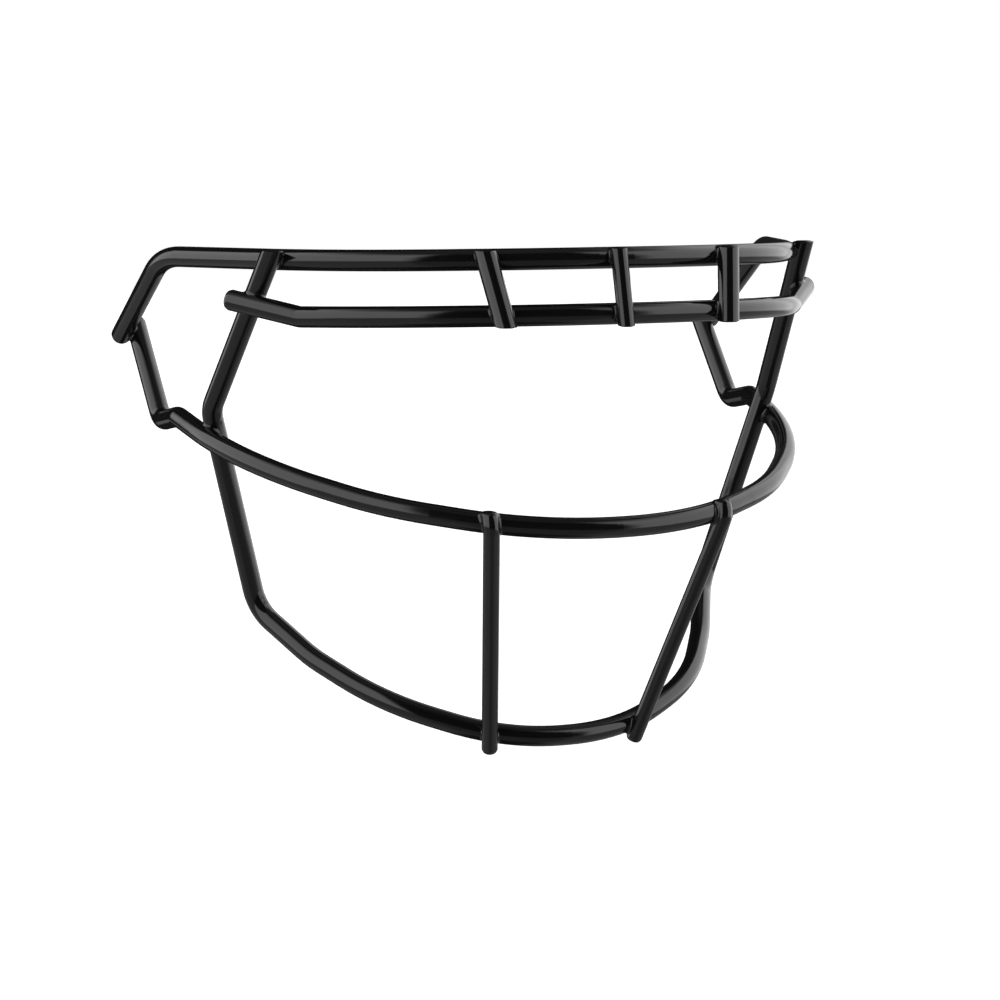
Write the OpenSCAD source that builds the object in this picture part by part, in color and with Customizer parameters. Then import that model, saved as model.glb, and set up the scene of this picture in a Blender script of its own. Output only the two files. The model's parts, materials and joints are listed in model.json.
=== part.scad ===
// Football face guard: nine bent steel wires, welded where they cross and coated in polymer.
// Frame: X across, with right and left as seen from the front, which faces -Y; +Z up; millimetres.
// The origin is the brow bar's centre line on the plane X = 0. All points are the right half
// of a wire's centre line, [half width, depth, height], and the left half is their mirror.

/* [Wire] */
// Steel diameter of the brow bar, eye bar, mouth wire and jaw wire
main_d = 6.35; // [4:0.05:8]
// Steel diameter of the outer brow struts
strut_d = 6.35; // [4:0.05:8]
// Steel diameter of the centre brow strut and the chin struts
thin_d = 4.76; // [3:0.01:8]
// Thickness of the polymer coat
coat_t = 0.4; // [0.2:0.05:1]
// Rounding of the coat at a cut end
end_round = 1.2; // [0.2:0.1:2]
// Rounding of the steel at a cut end
steel_round = 0.4; // [0.1:0.1:1]
// Radius of the fused nugget inside each weld
nugget_r = 1.2; // [0.5:0.1:1.5]

/* [Brow bar] */
// Lower end of the side leg
brow_end = [118.5, 167.5, -33.5]; // [-200:0.5:200]
// Corner where the side leg begins
brow_corner = [117, 119.5, -2.5]; // [-200:0.5:200]
// Side of the sweep
brow_side = [83.5, 29.5, -1]; // [-200:0.5:200]
// Front of the sweep
brow_front = [26, 0, 0]; // [-200:0.5:200]
// Bend radius at the corner, the side and the front
brow_r = [30, 95, 82]; // [3:1:300]

/* [Eye bar] */
// Tip, bent back and up
eye_tip = [109, 70.5, -15]; // [-200:0.5:200]
// Bend below the tip
eye_bend = [91.5, 48, -20]; // [-200:0.5:200]
// Front of the sweep
eye_front = [58, -5, -18]; // [-200:0.5:200]
// Bend radius at the tip and the front
eye_r = [4, 98]; // [3:1:300]

/* [Brow struts] */
// Top of an outer strut
strut_top = [44, 3.5, 3.2]; // [-200:0.5:200]
// Bottom of an outer strut
strut_foot = [40, -5.1, -21.8]; // [-200:0.5:200]
// Top of the centre strut
centre_top = [0, -4.5, 3.6]; // [-200:0.5:200]
// Bottom of the centre strut
centre_foot = [0, -11, -22]; // [-200:0.5:200]

/* [Jaw wire] */
// Top of the upright
upright_top = [99, 53.5, 2]; // [-200:0.5:200]
// Knee of the upright
upright_knee = [107, 97, -54.5]; // [-200:0.5:200]
// Corner where the jaw sweep begins
jaw_corner = [87, 108.5, -126.5]; // [-200:0.5:200]
// Side of the jaw sweep
jaw_side = [75, 85, -141]; // [-200:0.5:200]
// Quarter point of the jaw sweep
jaw_quarter = [58.5, 59, -153.5]; // [-200:0.5:200]
// Front of the jaw sweep
jaw_front = [21.5, 38, -165.5]; // [-200:0.5:200]
// Bend radius at the knee, the corner, the side, the quarter point and the front
jaw_r = [12, 12, 61, 74, 68]; // [3:1:300]

/* [Mouth wire] */
// Top of the side leg
leg_top = [113, 167, -28]; // [-200:0.5:200]
// Heel, where the leg turns forward
leg_heel = [112.5, 137, -61.5]; // [-200:0.5:200]
// Toe, where the mouth sweep begins
leg_toe = [112, 119, -58.5]; // [-200:0.5:200]
// Side of the mouth sweep
mouth_side = [105.5, 70, -70]; // [-200:0.5:200]
// Quarter point of the mouth sweep
mouth_quarter = [71.5, 25, -81.5]; // [-200:0.5:200]
// Front of the mouth sweep
mouth_front = [28, -3.5, -88.5]; // [-200:0.5:200]
// Bend radius at the heel, the toe, the side, the quarter point and the front
mouth_r = [8, 6, 132, 94, 88]; // [3:1:300]

/* [Chin struts] */
// Top end, on the mouth wire
chin_top = [42.5, 4, -82]; // [-200:0.5:200]
// Kink below the top end
chin_kink = [42.5, 1, -86.5]; // [-200:0.5:200]
// Bottom end, past the jaw wire
chin_foot = [27, 40, -169.5]; // [-200:0.5:200]
// Bend radius at the kink
chin_r = [5]; // [3:1:50]

/* [Hidden] */
// A bend is drawn a hair thinner than a straight and runs this far into it, so the two overlap
bend_thin = 0.01;
bend_lap = 0.2;
// Spare length that a level end is cut from
spare = 5;
// Spacing of the centre-line points that welds are found from
step = 0.5;
main_r = main_d / 2;
strut_r = strut_d / 2;
thin_r = thin_d / 2;
steel = [0.62, 0.62, 0.64];
black = [0.03, 0.03, 0.035];
$fn = 48;

// Vectors and lists
function unit(v) = v / norm(v);
function past(end, from) = end + unit(end - from) * spare;
function flip(v) = [-v[0], v[1], v[2]];
function backwards(l) = [for (i = [len(l) - 1 : -1 : 0]) l[i]];
function both_sides(l) = concat(l, [for (v = backwards(l)) flip(v)]);
function both_radii(l) = concat(l, backwards(l));

// A wire is a list of vertices V with a bend radius R at each inner one
function turn(V, i) = acos(unit(V[i] - V[i - 1]) * unit(V[i + 1] - V[i]));
function reach(V, R, i) = i == 0 || i == len(V) - 1 ? 0 : R[i - 1] * tan(turn(V, i) / 2);
function leg_start(V, R, i) = V[i] + unit(V[i + 1] - V[i]) * reach(V, R, i);
function leg_stop(V, R, i) = V[i + 1] - unit(V[i + 1] - V[i]) * reach(V, R, i + 1);
function bend_out(V, i) = let (u = unit(V[i] - V[i - 1]), w = unit(V[i + 1] - V[i])) unit(w - u * (u * w));
function bend_centre(V, R, i) =
    V[i] - unit(V[i] - V[i - 1]) * reach(V, R, i) + bend_out(V, i) * R[i - 1];

brow = both_sides([brow_end, brow_corner, brow_side, brow_front]);
brow_bends = both_radii(brow_r);
eye = both_sides([eye_tip, eye_bend, eye_front]);
eye_bends = both_radii(eye_r);
jaw = both_sides([
    past(upright_top, upright_knee), upright_knee, jaw_corner, jaw_side, jaw_quarter, jaw_front
]);
jaw_bends = both_radii(jaw_r);
mouth = both_sides([leg_top, leg_heel, leg_toe, mouth_side, mouth_quarter, mouth_front]);
mouth_bends = both_radii(mouth_r);
chin = [past(chin_top, chin_kink), chin_kink, chin_foot];
strut = [past(strut_top, strut_foot), past(strut_foot, strut_top)];
centre = [past(centre_top, centre_foot), past(centre_foot, centre_top)];

// A straight of radius r, its two ends rounded by ca and cb
module rod(a, b, r, ca = 0, cb = 0) {
    d = b - a;
    h = norm(d);
    s = 1 - sqrt(0.5);
    translate(a) rotate([0, acos(d[2] / h), atan2(d[1], d[0])])
        rotate_extrude() polygon([
            [0, 0], [r - ca, 0], [r - s * ca, s * ca], [r, ca],
            [r, h - cb], [r - s * cb, h - s * cb], [r - cb, h], [0, h]
        ]);
}

// The bend at vertex i
module bend(V, R, i, r) {
    u = unit(V[i] - V[i - 1]);
    n = bend_out(V, i);
    k = cross(-n, u);
    c = bend_centre(V, R, i);
    over = bend_lap / R[i - 1] * 180 / PI;
    multmatrix([[-n[0], u[0], k[0], c[0]], [-n[1], u[1], k[1], c[1]], [-n[2], u[2], k[2], c[2]]])
        rotate([0, 0, -over]) rotate_extrude(angle = turn(V, i) + 2 * over)
            translate([R[i - 1], 0]) circle(r = r - bend_thin);
}

// Legs from..to of a wire with the bends between them; the wire's own ends are set back and rounded
module wire(V, R, r, back = 0, cap = end_round, from = 0, to = -1) {
    last = len(V) - 2;
    stop = to < 0 ? last : to;
    for (i = [from : stop]) {
        u = unit(V[i + 1] - V[i]);
        rod(leg_start(V, R, i) + u * (i == 0 ? back : 0), leg_stop(V, R, i) - u * (i == last ? back : 0),
            r, i == 0 ? cap : 0, i == last ? cap : 0);
    }
    for (i = [from + 1 : stop]) bend(V, R, i, r);
}

// Welds. Points along a wire's centre line, and the pair of points where a straight wire passes
// closest to it; the nugget sits between the two, on the seam.
function leg_points(a, b) =
    let (n = max(1, floor(norm(b - a) / step))) [for (k = [0 : n]) a + (b - a) * k / n];
function bend_points(V, R, i) =
    let (c = bend_centre(V, R, i), n = bend_out(V, i), u = unit(V[i] - V[i - 1]), t = turn(V, i),
         m = max(1, floor(R[i - 1] * t * PI / 180 / step)))
    [for (k = [0 : m]) c - n * R[i - 1] * cos(t * k / m) + u * R[i - 1] * sin(t * k / m)];
function points(V, R) = [
    for (i = [0 : len(V) - 2])
        each concat(i > 0 ? bend_points(V, R, i) : [], leg_points(leg_start(V, R, i), leg_stop(V, R, i)))
];
function foot(a, b, p) = a + unit(b - a) * ((p - a) * unit(b - a));
function miss(a, b, p) = norm(p - foot(a, b, p));
function right_half(P) = [for (p = P) if (p[0] >= 0) p];
function nearest(a, b, P) =
    let (d = [for (p = P) miss(a, b, p)], m = min(d)) [for (i = [0 : len(P) - 1]) if (d[i] == m) P[i]][0];
// seam between a wire of steel radius r through P and a straight a-b of steel radius q
function seam(a, b, q, P, r) =
    let (p = nearest(a, b, P), f = foot(a, b, p), g = norm(f - p), x = (g * g + r * r - q * q) / (2 * g))
    p + unit(f - p) * x;
function pair(p) = [p, flip(p)];

brow_line = right_half(points(brow, brow_bends));
eye_line = right_half(points(eye, eye_bends));
jaw_line = right_half(points(jaw, jaw_bends));
mouth_line = right_half(points(mouth, mouth_bends));

brow_strut_welds = concat([seam(centre_foot, centre_top, thin_r, brow_line, main_r)],
    pair(seam(strut_foot, strut_top, strut_r, brow_line, main_r)));
eye_strut_welds = concat([seam(centre_foot, centre_top, thin_r, eye_line, main_r)],
    pair(seam(strut_foot, strut_top, strut_r, eye_line, main_r)));
brow_upright_welds = pair(seam(upright_knee, upright_top, main_r, brow_line, main_r));
eye_upright_welds = pair(seam(upright_knee, upright_top, main_r, eye_line, main_r));
mouth_upright_welds =
    pair(seam(upright_knee, jaw_corner, main_r, mouth_line, main_r));
brow_leg_welds = pair(seam(leg_heel, leg_top, main_r, leg_points(brow_end, brow_corner), main_r));
mouth_chin_welds = pair(seam(chin_foot, chin_kink, thin_r, mouth_line, main_r));
jaw_chin_welds = pair(seam(chin_foot, chin_kink, thin_r, jaw_line, main_r));

// What a level cut takes off the end of a wire of steel radius r: all that lies beyond p, with the
// rim eased. g is the coat on the wire, and way is 1 at a top end and -1 at a bottom end.
module level_cut(p, r, g, way = 1) {
    rim = r + coat_t;
    wide = rim + spare;
    translate(p - [0, 0, way * (coat_t - g)]) mirror([0, 0, way > 0 ? 0 : 1]) rotate_extrude()
        polygon([
            [0, 0], [rim - end_round, 0], [rim, -0.3 * end_round], [rim + end_round, -0.9 * end_round],
            [wide, -0.9 * end_round], [wide, 2 * spare], [0, 2 * spare]
        ]);
}
function ease(g) = g > 0 ? end_round : steel_round;

module nuggets(list) for (p = list) translate(p) sphere(r = nugget_r);

// Steel of each wire before it is fitted to the others, grown by g for the coat's outside.
// The four long wires can be drawn in part, from one leg to another, as cutters.
module brow_rod(g = 0, from = 0, to = -1) wire(brow, brow_bends, main_r + g, coat_t - g, ease(g), from, to);
module eye_rod(g = 0, from = 0, to = -1) wire(eye, eye_bends, main_r + g, coat_t - g, ease(g), from, to);
module mouth_rod(g = 0, from = 0, to = -1)
    wire(mouth, mouth_bends, main_r + g, coat_t - g, ease(g), from, to);
module jaw_rod(g = 0, from = 0, to = -1) difference() {
    wire(jaw, jaw_bends, main_r + g, 0, 0, from, to);
    left_and_right() level_cut(upright_top, main_r, g);
}
module short_rod(ends, top, foot, r, g) difference() {
    wire(ends, [], r + g, 0, 0);
    level_cut(top, r, g);
    level_cut(foot, r, g, -1);
}
module strut_rod(g = 0) short_rod(strut, strut_top, strut_foot, strut_r, g);
module centre_rod(g = 0) short_rod(centre, centre_top, centre_foot, thin_r, g);
module chin_rod(g = 0) difference() {
    wire(chin, chin_r, thin_r + g, coat_t - g, ease(g));
    level_cut(chin_top, thin_r, g);
}
module left_and_right() {
    children();
    mirror([1, 0, 0]) children();
}
module brow_struts_rods() { left_and_right() strut_rod(); centre_rod(); }
module uprights_rods() left_and_right() jaw_rod(0, 0, 0);
module lower_uprights_rods() left_and_right() jaw_rod(0, 0, 1);
module legs_rods() left_and_right() rod(leg_top, leg_stop(mouth, mouth_bends, 0), main_r);

// Steel. Each later wire is set down onto the earlier ones: it is saddled where they cross.
module core_brow_bar() color(steel) difference() {
    brow_rod();
    nuggets(concat(brow_strut_welds, brow_upright_welds, brow_leg_welds));
}
module core_eye_bar() color(steel) difference() {
    eye_rod();
    nuggets(concat(eye_strut_welds, eye_upright_welds));
}
module core_mouth_wire() color(steel) difference() {
    mouth_rod();
    left_and_right() brow_rod(0, 0, 0);
    nuggets(concat(mouth_upright_welds, brow_leg_welds, mouth_chin_welds));
}
module core_jaw_wire() color(steel) difference() {
    jaw_rod();
    left_and_right() { brow_rod(0, 1, 2); eye_rod(0, 0, 1); mouth_rod(0, 2, 4); }
    nuggets(concat(brow_upright_welds, eye_upright_welds, mouth_upright_welds, jaw_chin_welds));
}
module strut_steel() color(steel) difference() {
    strut_rod();
    brow_rod(0, 2, 4);
    eye_rod(0, 1, 3);
    nuggets(concat(brow_strut_welds, eye_strut_welds));
}
module core_strut_right() strut_steel();
module core_strut_left() mirror([1, 0, 0]) strut_steel();
module core_strut_centre() color(steel) difference() {
    centre_rod();
    brow_rod(0, 2, 4);
    eye_rod(0, 1, 3);
    nuggets(concat(brow_strut_welds, eye_strut_welds));
}
module chin_steel() color(steel) difference() {
    chin_rod();
    mouth_rod(0, 3, 7);
    jaw_rod(0, 4, 6);
    nuggets(concat(mouth_chin_welds, jaw_chin_welds));
}
module core_chin_right() chin_steel();
module core_chin_left() mirror([1, 0, 0]) chin_steel();

// Coat: one closed sleeve on each wire, open only where a weld joins steel to steel
module coat_brow_bar() color(black) difference() {
    brow_rod(coat_t);
    brow_rod();
    brow_struts_rods();
    uprights_rods();
    legs_rods();
}
module coat_eye_bar() color(black) difference() {
    eye_rod(coat_t);
    eye_rod();
    brow_struts_rods();
    uprights_rods();
}
module coat_mouth_wire() color(black) difference() {
    mouth_rod(coat_t);
    mouth_rod();
    left_and_right() brow_rod(coat_t, 0, 0);
    lower_uprights_rods();
    left_and_right() chin_rod();
}
module coat_jaw_wire() color(black) difference() {
    jaw_rod(coat_t);
    jaw_rod();
    left_and_right() { brow_rod(coat_t, 1, 2); eye_rod(coat_t, 0, 1); mouth_rod(coat_t, 2, 4); }
    left_and_right() chin_rod();
}
module strut_coat() color(black) difference() {
    strut_rod(coat_t);
    strut_rod();
    brow_rod(coat_t, 2, 4);
    eye_rod(coat_t, 1, 3);
}
module coat_strut_right() strut_coat();
module coat_strut_left() mirror([1, 0, 0]) strut_coat();
module coat_strut_centre() color(black) difference() {
    centre_rod(coat_t);
    centre_rod();
    brow_rod(coat_t, 2, 4);
    eye_rod(coat_t, 1, 3);
}
module chin_coat() color(black) difference() {
    chin_rod(coat_t);
    chin_rod();
    mouth_rod(coat_t, 3, 7);
    jaw_rod(coat_t, 4, 6);
}
module coat_chin_right() chin_coat();
module coat_chin_left() mirror([1, 0, 0]) chin_coat();

// Fused nuggets inside the welds
module welds_brow_struts() color(steel) nuggets(brow_strut_welds);
module welds_eye_struts() color(steel) nuggets(eye_strut_welds);
module welds_brow_uprights() color(steel) nuggets(brow_upright_welds);
module welds_eye_uprights() color(steel) nuggets(eye_upright_welds);
module welds_mouth_uprights() color(steel) nuggets(mouth_upright_welds);
module welds_brow_legs() color(steel) nuggets(brow_leg_welds);
module welds_mouth_chin() color(steel) nuggets(mouth_chin_welds);
module welds_jaw_chin() color(steel) nuggets(jaw_chin_welds);

core_brow_bar();
core_eye_bar();
core_strut_left();
core_strut_centre();
core_strut_right();
core_jaw_wire();
core_mouth_wire();
core_chin_left();
core_chin_right();
coat_brow_bar();
coat_eye_bar();
coat_strut_left();
coat_strut_centre();
coat_strut_right();
coat_jaw_wire();
coat_mouth_wire();
coat_chin_left();
coat_chin_right();
welds_brow_struts();
welds_eye_struts();
welds_brow_uprights();
welds_eye_uprights();
welds_mouth_uprights();
welds_brow_legs();
welds_mouth_chin();
welds_jaw_chin();
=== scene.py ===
# %% [markdown]
# # A football face guard
# The guard is nine steel wires, welded where they cross and dipped in glossy black polymer.
# The wires, their coats and their welds come from the frame, at their real size and place.
# This script adds what dipping does at the crossings, the finish of each material, the white
# sweep the guard hangs in front of, and the studio light that a glossy black coat mirrors.

# %% Load the frame
import json
import math

import bpy
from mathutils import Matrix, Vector

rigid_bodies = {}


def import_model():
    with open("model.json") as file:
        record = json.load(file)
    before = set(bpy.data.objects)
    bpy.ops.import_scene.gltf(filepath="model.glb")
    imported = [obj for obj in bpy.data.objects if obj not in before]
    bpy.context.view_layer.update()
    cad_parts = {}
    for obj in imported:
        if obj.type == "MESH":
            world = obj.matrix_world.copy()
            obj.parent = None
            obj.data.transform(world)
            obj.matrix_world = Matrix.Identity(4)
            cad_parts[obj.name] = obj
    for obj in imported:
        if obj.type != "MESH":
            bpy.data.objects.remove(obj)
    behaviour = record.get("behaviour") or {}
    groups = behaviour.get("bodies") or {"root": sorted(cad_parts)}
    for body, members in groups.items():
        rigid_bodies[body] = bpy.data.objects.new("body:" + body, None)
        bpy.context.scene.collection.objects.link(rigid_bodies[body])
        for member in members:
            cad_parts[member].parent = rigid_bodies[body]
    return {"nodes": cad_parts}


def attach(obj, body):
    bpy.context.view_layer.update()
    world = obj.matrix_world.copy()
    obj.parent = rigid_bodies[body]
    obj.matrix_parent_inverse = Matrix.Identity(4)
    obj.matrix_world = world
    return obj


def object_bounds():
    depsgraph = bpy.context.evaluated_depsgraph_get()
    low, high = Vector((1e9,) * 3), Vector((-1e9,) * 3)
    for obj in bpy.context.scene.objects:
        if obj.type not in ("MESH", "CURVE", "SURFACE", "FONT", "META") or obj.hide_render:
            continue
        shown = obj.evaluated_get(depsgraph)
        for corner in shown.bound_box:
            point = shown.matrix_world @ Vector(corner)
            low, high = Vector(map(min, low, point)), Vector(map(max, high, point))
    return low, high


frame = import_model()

CAD_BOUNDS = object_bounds()
LOW, HIGH = (Vector(corner) for corner in CAD_BOUNDS)
SIZE = HIGH - LOW
MM = 0.001
print("guard, mm:", [round(side / MM, 1) for side in SIZE])


# %% [markdown]
# ## Camera
# The guard is looked at from in front, a little to one side and just above the brow bar.
# A long lens from about a metre keeps the far side nearly as large as the near side. The
# camera is placed by turning round the point it looks at, so two angles and a distance say
# everything, and the same numbers would set up a real camera on a real stand.

# %% Place the camera
AZIMUTH = math.radians(-22.8)       # 0 looks along +Y; negative goes towards -X
ELEVATION = math.radians(6.9)
DISTANCE = 1.056
LENS = 116.9                        # mm, on a 36 mm sensor
AIM = Vector((-40 * MM, 0, -78 * MM))


def away(azimuth, elevation):
    """The direction from the guard to a point seen at that azimuth and elevation."""
    flat = math.cos(elevation)
    return Vector((flat * math.sin(azimuth), -flat * math.cos(azimuth), math.sin(elevation)))


optics = bpy.data.cameras.new("camera")
optics.lens = LENS
camera = bpy.data.objects.new("camera", optics)
camera.location = AIM + away(AZIMUTH, ELEVATION) * DISTANCE
camera.rotation_euler = (AIM - camera.location).to_track_quat("-Z", "Y").to_euler()
bpy.context.scene.collection.objects.link(camera)
bpy.context.scene.camera = camera
print("camera at, mm:", [round(c / MM) for c in camera.location])


# %% [markdown]
# ## Building materials
# A material here is a Principled BSDF fed by a few patterns. A small helper makes a node and
# joins its inputs, so that each finish reads as a list of what it is made of. Patterns read
# Object coordinates: they are metres on the guard itself, so a grain has a true size and
# stays put when the guard is turned.

# %% A helper that adds a node
def add(tree, kind, inputs=(), **settings):
    """A new node in tree. inputs maps a socket to a value, or to an output that feeds it."""
    made = tree.nodes.new(kind)
    for name, value in settings.items():
        setattr(made, name, value)
    for socket, value in dict(inputs).items():
        if isinstance(value, bpy.types.NodeSocket):
            tree.links.new(value, made.inputs[socket])
        else:
            made.inputs[socket].default_value = value
    return made


def deselect():
    """Nothing selected and nothing active, so that an operator touches only what comes next."""
    for o in bpy.context.view_layer.objects.selected:
        o.select_set(False)
    bpy.context.view_layer.objects.active = None


# %% [markdown]
# ## Shared effects
# Two patterns turn up in more than one finish, so each is a node group, made once.
# `grain` is a soft noise at a given size, used for the slow waves that a dipped coat sets in
# and for the dust-fine texture on top. `scuffs` is a sparse set of short scratches and rubbed
# spots, used where a finish has been handled.

# %% Make the node groups
def new_group(name, numbers, result):
    """An empty group with float inputs and one float output."""
    group = bpy.data.node_groups.new(name, "ShaderNodeTree")
    for label, value in numbers.items():
        made = group.interface.new_socket(label, in_out="INPUT", socket_type="NodeSocketFloat")
        made.default_value = value
    group.interface.new_socket(result, in_out="OUTPUT", socket_type="NodeSocketFloat")
    return group, add(group, "NodeGroupInput"), add(group, "NodeGroupOutput")


def make_grain():
    group, given, out = new_group("grain", {"Per Metre": 400.0, "Detail": 2.0}, "Height")
    where = add(group, "ShaderNodeTexCoord")
    noise = add(group, "ShaderNodeTexNoise", {
        "Vector": where.outputs["Object"], "Scale": given.outputs["Per Metre"],
        "Detail": given.outputs["Detail"], "Roughness": 0.5})
    group.links.new(noise.outputs["Fac"], out.inputs["Height"])
    return group


RAREST = 0.72            # noise above this is a scuff even when the amount is 0
FEATHER = 0.1            # how far the noise rises from a scuff's edge to its middle


def make_scuffs():
    group, given, out = new_group("scuffs", {"Per Metre": 220.0, "Amount": 0.08}, "Mask")
    where = add(group, "ShaderNodeTexCoord")
    stretch = add(group, "ShaderNodeMapping", {
        "Vector": where.outputs["Object"], "Rotation": (0.4, 0.9, 0.3), "Scale": (1.0, 0.16, 1.0)})
    marks = add(group, "ShaderNodeTexNoise", {
        "Vector": stretch.outputs["Vector"], "Scale": given.outputs["Per Metre"],
        "Detail": 6.0, "Roughness": 0.7})
    edge = add(group, "ShaderNodeMath", {
        0: RAREST, 1: given.outputs["Amount"]}, operation="SUBTRACT")
    ceiling = add(group, "ShaderNodeMath", {0: edge.outputs[0], 1: FEATHER}, operation="ADD")
    mask = add(group, "ShaderNodeMapRange", {
        "Value": marks.outputs["Fac"], "From Min": edge.outputs[0], "From Max": ceiling.outputs[0]},
        interpolation_type="SMOOTHSTEP")
    group.links.new(mask.outputs["Result"], out.inputs["Mask"])
    return group


GRAIN = make_grain()
SCUFFS = make_scuffs()
print("node groups:", GRAIN.name, SCUFFS.name)


# %% [markdown]
# ## Black coat
# The polymer is almost pure black and very smooth, so nearly all that shows is what it
# mirrors. Three things keep it from looking like a computer's black: the skin sets in slow,
# shallow waves a few millimetres long, which make the edges of a reflection wander; a fine
# orange peel softens them; and handling leaves a few duller scuffs.

# %% Make the coat material
def blank_material(name):
    made = bpy.data.materials.new(name)
    made.use_nodes = True
    made.node_tree.nodes.clear()
    return made, made.node_tree


def make_coat():
    made, tree = blank_material("black_coat")
    waves = add(tree, "ShaderNodeGroup", {"Per Metre": 90.0, "Detail": 1.0}, node_tree=GRAIN)
    peel = add(tree, "ShaderNodeGroup", {"Per Metre": 900.0, "Detail": 2.0}, node_tree=GRAIN)
    scuffs = add(tree, "ShaderNodeGroup", {"Per Metre": 160.0, "Amount": 0.06}, node_tree=SCUFFS)
    colour = add(tree, "ShaderNodeMix", {
        "Factor": scuffs.outputs["Mask"],
        6: (0.0035, 0.0035, 0.0038, 1), 7: (0.012, 0.012, 0.0125, 1)}, data_type="RGBA")
    rough = add(tree, "ShaderNodeMapRange", {
        "Value": waves.outputs["Height"], "From Min": 0.3, "From Max": 0.7,
        "To Min": 0.08, "To Max": 0.13})
    rougher = add(tree, "ShaderNodeMath", {
        0: scuffs.outputs["Mask"], 1: 0.1, 2: rough.outputs["Result"]}, operation="MULTIPLY_ADD")
    flow = add(tree, "ShaderNodeBump", {
        "Height": waves.outputs["Height"], "Strength": 1.0, "Distance": 0.08 * MM})
    fine = add(tree, "ShaderNodeBump", {
        "Height": peel.outputs["Height"], "Normal": flow.outputs["Normal"],
        "Strength": 1.0, "Distance": 0.004 * MM})
    skin = add(tree, "ShaderNodeBsdfPrincipled", {
        "Base Color": colour.outputs[2], "Roughness": rougher.outputs[0],
        "Normal": fine.outputs["Normal"], "IOR": 1.5})
    add(tree, "ShaderNodeOutputMaterial", {"Surface": skin.outputs[0]})
    return made


COAT = make_coat()
print("coat:", len(COAT.node_tree.nodes), "nodes")


# %% [markdown]
# ## Steel
# The wire inside is low-carbon steel, drawn bright through a die. It only shows where a coat
# is cut away, but it gets its own finish: a brushed grey whose fine lines vary the gloss.
# The weld metal is the same steel, fused and set again, so it is darker and duller.

# %% Make the steel materials
def make_steel(name, bright, dull, smooth, coarse):
    made, tree = blank_material(name)
    lines = add(tree, "ShaderNodeGroup", {"Per Metre": 1500.0, "Detail": 4.0}, node_tree=GRAIN)
    marks = add(tree, "ShaderNodeGroup", {"Per Metre": 300.0, "Amount": 0.12}, node_tree=SCUFFS)
    colour = add(tree, "ShaderNodeMix", {
        "Factor": marks.outputs["Mask"], 6: (*bright, 1), 7: (*dull, 1)}, data_type="RGBA")
    rough = add(tree, "ShaderNodeMapRange", {
        "Value": lines.outputs["Height"], "From Min": 0.3, "From Max": 0.7,
        "To Min": smooth, "To Max": coarse})
    bump = add(tree, "ShaderNodeBump", {
        "Height": lines.outputs["Height"], "Strength": 1.0, "Distance": 0.006 * MM})
    metal = add(tree, "ShaderNodeBsdfPrincipled", {
        "Base Color": colour.outputs[2], "Roughness": rough.outputs["Result"],
        "Normal": bump.outputs["Normal"], "Metallic": 1.0})
    add(tree, "ShaderNodeOutputMaterial", {"Surface": metal.outputs[0]})
    return made


WIRE_STEEL = make_steel("wire_steel", (0.62, 0.62, 0.64), (0.48, 0.48, 0.5), 0.22, 0.38)
WELD_STEEL = make_steel("weld_steel", (0.5, 0.5, 0.52), (0.3, 0.28, 0.27), 0.4, 0.6)
print("steels:", WIRE_STEEL.name, WELD_STEEL.name)


# %% [markdown]
# ## Dress the frame's own pieces
# Every wire's coat, core and weld already has the right shape, so each only gets its finish.

# %% Give each piece of the frame its finish
FINISHES = {"coat": COAT, "core": WIRE_STEEL, "welds": WELD_STEEL}
for name, node in frame["nodes"].items():
    finish = FINISHES[name.split("_")[0]]
    for slot in node.material_slots:
        slot.material = finish
print("dressed:", len(frame["nodes"]), "pieces")


# %% [markdown]
# ## Coat fillets at the crossings
# When a welded guard is dipped, the wet polymer is drawn into the crease where two wires
# touch and sets there as a small hollow fillet. The frame's sleeves stop at a sharp crease,
# so the fillet is made here. It could be swept along the crease, but the crease of two round
# wires is a curve with no simple formula. Instead the two wires are copied round the weld,
# fused into one skin by a voxel remesh, and relaxed. Relaxing draws the round wires in a
# little, which hides them inside their own coats, and fills the crease, which is all that
# stays in sight.

# %% Find the welds
CROSSINGS = {
    "welds_brow_struts": ("brow_bar", "strut_{}"), "welds_eye_struts": ("eye_bar", "strut_{}"),
    "welds_brow_uprights": ("brow_bar", "jaw_wire"), "welds_eye_uprights": ("eye_bar", "jaw_wire"),
    "welds_mouth_uprights": ("mouth_wire", "jaw_wire"),
    "welds_brow_legs": ("brow_bar", "mouth_wire"),
    "welds_mouth_chin": ("mouth_wire", "chin_{}"), "welds_jaw_chin": ("jaw_wire", "chin_{}")}
NUGGET = 3 * MM          # more than a nugget's size, less than the gap between two nuggets


def nugget_centres(node):
    """The middle of each separate nugget in a node of welds."""
    groups = []
    for vertex in frame["nodes"][node].data.vertices:
        near = next((g for g in groups if (g[0] - vertex.co).length < NUGGET), None)
        if near:
            near.append(vertex.co.copy())
        else:
            groups.append([vertex.co.copy()])
    return [sum(g, Vector()) / len(g) for g in groups]


def side_of(x):
    return "centre" if abs(x) < NUGGET else "right" if x > 0 else "left"


# %% Model one fillet
REACH = 6.5 * MM         # half the width of the block that is kept round a weld
VOXEL = 0.3 * MM
RELAX = 60               # smoothing steps, enough for a fillet of about 1.5 mm


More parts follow.
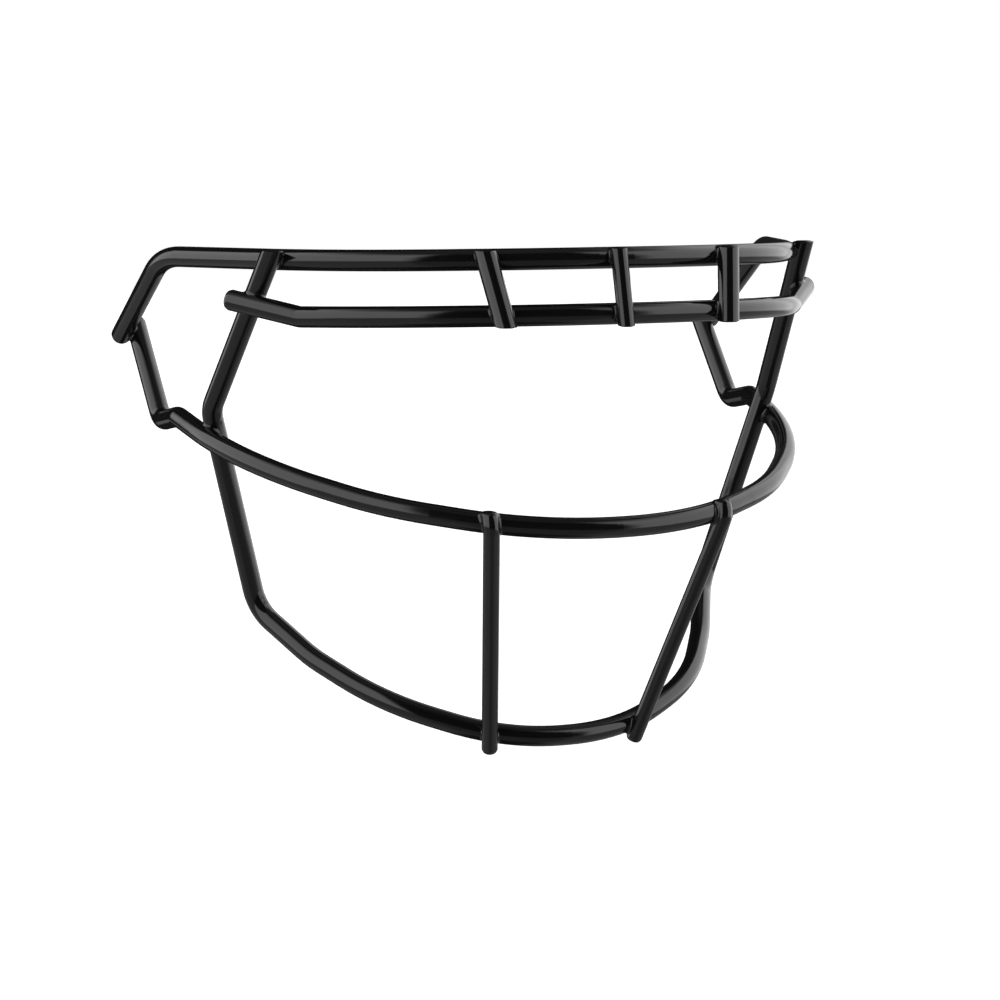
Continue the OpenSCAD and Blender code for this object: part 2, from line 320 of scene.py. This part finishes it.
def block_of(name, centre):
    """A copy of a piece of the frame, cut down to the block round centre and closed again."""
    made = bpy.data.objects.new("block_of_" + name, frame["nodes"][name].data.copy())
    bpy.context.scene.collection.objects.link(made)
    deselect()
    made.select_set(True)
    bpy.context.view_layer.objects.active = made
    bpy.ops.object.mode_set(mode="EDIT")
    bpy.ops.mesh.select_all(action="SELECT")
    bpy.ops.mesh.remove_doubles(threshold=0.001 * MM)
    for axis in range(3):
        for way in (1, -1):
            normal = [0, 0, 0]
            normal[axis] = way
            bpy.ops.mesh.select_all(action="SELECT")
            bpy.ops.mesh.bisect(
                plane_co=centre + Vector(normal) * REACH, plane_no=normal,
                use_fill=True, clear_outer=True)
    bpy.ops.object.mode_set(mode="OBJECT")
    return made


def finish_with(piece, kind, name, **settings):
    """Adds one modifier and applies it."""
    modifier = piece.modifiers.new(name, kind)
    for key, value in settings.items():
        setattr(modifier, key, value)
    bpy.ops.object.modifier_apply(modifier=modifier.name)


def fillet(name, centre, wires):
    blocks = [block_of(layer + wire, centre) for wire in wires for layer in ("coat_", "core_")]
    for block in blocks:
        block.select_set(True)
    piece = blocks[0]
    bpy.context.view_layer.objects.active = piece
    bpy.ops.object.join()
    piece.name = piece.data.name = name
    finish_with(piece, "REMESH", "fuse", mode="VOXEL", voxel_size=VOXEL)
    finish_with(piece, "SMOOTH", "relax", factor=0.5, iterations=RELAX)
    bpy.ops.object.shade_smooth()
    piece.data.materials.clear()
    piece.data.materials.append(COAT)
    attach(piece, "root")
    return piece


# %% Make them all
for node, (bar, other) in CROSSINGS.items():
    for centre in nugget_centres(node):
        side = side_of(centre.x)
        label = node.replace("welds", "fillet") + "_" + side
        made = fillet(label, centre, (bar, other.format(side)))
        print(label, len(made.data.polygons), "faces")


# %% [markdown]
# ## White sweep
# The guard hangs above a plain white sweep, here a flat floor; behind it, the world is plain
# white to the camera. The sweep gives off a little light of its own, as a lit paper roll does.
# It is kept out of the coat's reflections, as a studio's black flags do, because white all
# round would turn a glossy black part grey.

# %% Build the sweep
FLOOR_GAP = 12 * MM
SWEEP = 6.0


def make_paper():
    made, tree = blank_material("white_paper")
    paper = add(tree, "ShaderNodeBsdfPrincipled", {
        "Base Color": (0.9, 0.9, 0.9, 1), "Roughness": 0.9,
        "Emission Color": (1, 1, 1, 1), "Emission Strength": 0.55})
    add(tree, "ShaderNodeOutputMaterial", {"Surface": paper.outputs[0]})
    return made


deselect()
bpy.ops.mesh.primitive_plane_add(size=SWEEP, location=(0, 0, LOW.z - FLOOR_GAP))
sweep = bpy.context.object
sweep.name = "sweep"
bpy.ops.object.transform_apply(location=True)
sweep.data.materials.append(make_paper())
sweep.visible_glossy = False
print("sweep:", SWEEP, "m wide,", round(FLOOR_GAP / MM), "mm below the guard")


# %% [markdown]
# ## Studio light
# A glossy black wire shows the studio and little else, so the light is drawn as the wire
# should mirror it: a tall soft box on each side, a dim floor below, and near black between
# them, in front and overhead. Each box is a patch of the world, set by the azimuth and
# elevation of its sides, as a gaffer would place it on a plan. Its edges are soft, and the
# top edge is the softest, because a real box is lit from its middle and dims towards the top.

# %% Draw the soft boxes on the world
world = bpy.data.worlds.new("studio")
bpy.context.scene.world = world
world.use_nodes = True
sky = world.node_tree
sky.nodes.clear()
toward = add(sky, "ShaderNodeTexCoord")
xyz = add(sky, "ShaderNodeSeparateXYZ", {0: toward.outputs["Generated"]})
back = add(sky, "ShaderNodeMath", {0: xyz.outputs["Y"], 1: -1.0}, operation="MULTIPLY")
compass = add(sky, "ShaderNodeMath", {0: xyz.outputs["X"], 1: back.outputs[0]}, operation="ARCTAN2")
height = add(sky, "ShaderNodeMath", {0: xyz.outputs["Z"]}, operation="ARCSINE")


def step_up(value, at, soft):
    """0 below at, 1 above it, over a soft edge. Degrees."""
    made = add(sky, "ShaderNodeMapRange", {
        "Value": value, "From Min": math.radians(at - soft), "From Max": math.radians(at + soft)},
        interpolation_type="SMOOTHSTEP")
    return made.outputs["Result"]


def times(a, b):
    return add(sky, "ShaderNodeMath", {0: a, 1: b}, operation="MULTIPLY").outputs[0]


def band(value, start, stop, soft_start, soft_stop):
    """1 between start and stop, 0 outside."""
    fall = add(sky, "ShaderNodeMath", {
        0: 1.0, 1: step_up(value, stop, soft_stop)}, operation="SUBTRACT")
    return times(step_up(value, start, soft_start), fall.outputs[0])


def soft_box(azimuths, elevations, strength, sides=2, bottom=2, top=2):
    """The light of one box; sides, bottom and top are half the width of each soft edge."""
    across = band(compass.outputs[0], *azimuths, sides, sides)
    return times(times(across, band(height.outputs[0], *elevations, bottom, top)), strength)


def total(parts):
    result = parts[0]
    for part in parts[1:]:
        result = add(sky, "ShaderNodeMath", {0: result, 1: part}, operation="ADD").outputs[0]
    return result


ROOM = 0.02              # what little the dark walls give back
left_box = soft_box((-145, -49), (-11, 58), 1.85, sides=5, bottom=4, top=13)
right_box = soft_box((31, 126), (-14, 57), 1.9, sides=4, bottom=4, top=12)
right_spill = soft_box((126, 146), (-14, 45), 1.2, sides=4, bottom=4, top=10)
floor_left = soft_box((-165, -50), (-72, -14), 0.38)
floor_right = soft_box((28, 150), (-72, -14), 0.38)
floor_front = soft_box((-50, 28), (-72, -14), 0.2)
ceiling = soft_box((-200, 200), (62, 100), 0.15, top=0.5, bottom=8)
light = total([left_box, right_box, right_spill, floor_left, floor_right, floor_front, ceiling])
light = add(sky, "ShaderNodeMath", {0: light, 1: ROOM}, operation="ADD").outputs[0]
studio = add(sky, "ShaderNodeBackground", {"Color": (1, 1, 1, 1), "Strength": light})
white = add(sky, "ShaderNodeBackground", {"Color": (1, 1, 1, 1), "Strength": 1.0})
ray = add(sky, "ShaderNodeLightPath")
shown = add(sky, "ShaderNodeMixShader", {
    0: ray.outputs["Is Camera Ray"], 1: studio.outputs[0], 2: white.outputs[0]})
add(sky, "ShaderNodeOutputWorld", {"Surface": shown.outputs[0]})
bpy.context.scene.view_settings.view_transform = "Standard"
print("soft boxes drawn:", len(sky.nodes), "nodes")
